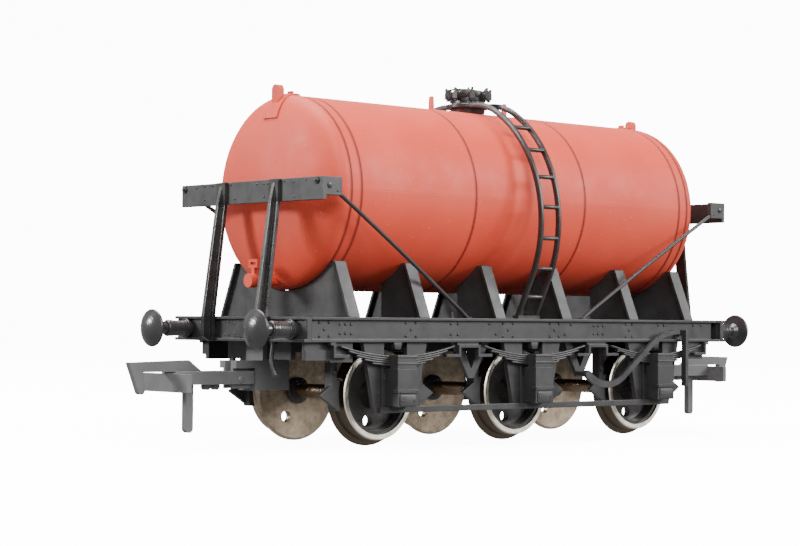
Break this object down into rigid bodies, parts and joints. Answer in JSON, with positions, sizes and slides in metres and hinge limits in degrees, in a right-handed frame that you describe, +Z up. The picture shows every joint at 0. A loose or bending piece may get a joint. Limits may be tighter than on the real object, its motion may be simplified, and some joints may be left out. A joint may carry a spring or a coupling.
{
  "type": "model railway milk tank wagon",
  "caption": "Scale-model six-wheel railway tank wagon with a domed horizontal tank, arched ladder, free-turning wheelsets and lifting hook couplings.",
  "frame": {"origin": "middle of the wagon, on the surface that the wheel flanges stand on", "axes": "+X along the wagon towards its rear end, +Y to its right side, +Z up"},
  "size_m": [0.1194, 0.0342, 0.0509],
  "materials": {
    "red_tank": "matt red paint",
    "black_plastic": "moulded satin",
    "fittings_plastic": "moulded satin",
    "buffer_plastic": "satin",
    "coupling_plastic": "satin",
    "wheel_plastic": "satin",
    "tyre_metal": "bright nickel plate",
    "wheel_metal": "dull nickel plate",
    "axle_metal": "blackened steel"
  },
  "bodies": {
    "wagon": {"tank_upper": "red_tank", "tank_lower": "red_tank", "manway_neck": "fittings_plastic", "manway_lid": "fittings_plastic", "lifting_lugs": "red_tank", "end_fittings": "red_tank", "ladder": "fittings_plastic", "saddles": "black_plastic", "end_beam_front": "black_plastic", "end_beam_rear": "black_plastic", "end_posts_front": "black_plastic", "end_posts_rear": "black_plastic", "tie_rods": "black_plastic", "floor": "black_plastic", "inner_frames": "black_plastic", "solebar_left": "black_plastic", "solebar_right": "black_plastic", "headstock_front": "black_plastic", "headstock_rear": "black_plastic", "buffer_housings_front": "buffer_plastic", "buffer_housings_rear": "buffer_plastic", "buffer_heads_front": "buffer_plastic", "buffer_heads_rear": "buffer_plastic", "axleguards_left": "black_plastic", "axleguards_right": "black_plastic", "springs_left": "black_plastic", "springs_right": "black_plastic", "shackles_left": "black_plastic", "shackles_right": "black_plastic", "axleboxes_left": "black_plastic", "axleboxes_right": "black_plastic", "tie_bar_left": "black_plastic", "tie_bar_right": "black_plastic", "v_hangers": "black_plastic", "brake_shoes": "black_plastic", "brake_lever_left": "black_plastic", "brake_lever_right": "black_plastic", "lever_guard_left": "black_plastic", "lever_guard_right": "black_plastic", "coupling_mount_front": "coupling_plastic", "coupling_mount_rear": "coupling_plastic", "bumper_front": "coupling_plastic", "bumper_rear": "coupling_plastic"},
    "wheelset_1": {"axle_1": "axle_metal", "tyre_1": "tyre_metal", "wheel_centre_1": "wheel_plastic", "metal_wheel_1": "wheel_metal"},
    "wheelset_2": {"axle_2": "axle_metal", "tyre_2": "tyre_metal", "wheel_centre_2": "wheel_plastic", "metal_wheel_2": "wheel_metal"},
    "wheelset_3": {"axle_3": "axle_metal", "tyre_3": "tyre_metal", "wheel_centre_3": "wheel_plastic", "metal_wheel_3": "wheel_metal"},
    "coupling_hook_front": {"hook_front": "coupling_plastic"},
    "coupling_hook_rear": {"hook_rear": "coupling_plastic"}
  },
  "joints": [
    {"name": "wheelset_1_roll", "type": "hinge", "parent": "wagon", "child": "wheelset_1", "pos_m": [-0.026, 0, 0.007], "axis": [0, 1, 0], "continuous": true},
    {"name": "wheelset_2_roll", "type": "hinge", "parent": "wagon", "child": "wheelset_2", "pos_m": [0, 0, 0.007], "axis": [0, 1, 0], "continuous": true},
    {"name": "wheelset_3_roll", "type": "hinge", "parent": "wagon", "child": "wheelset_3", "pos_m": [0.026, 0, 0.007], "axis": [0, 1, 0], "continuous": true},
    {"name": "hook_front_lift", "type": "hinge", "parent": "wagon", "child": "coupling_hook_front", "pos_m": [-0.0427, 0, 0.00895], "axis": [0, 1, 0], "range_deg": [0, 25]},
    {"name": "hook_rear_lift", "type": "hinge", "parent": "wagon", "child": "coupling_hook_rear", "pos_m": [0.0427, 0, 0.00895], "axis": [0, -1, 0], "range_deg": [0, 25]}
  ]
}
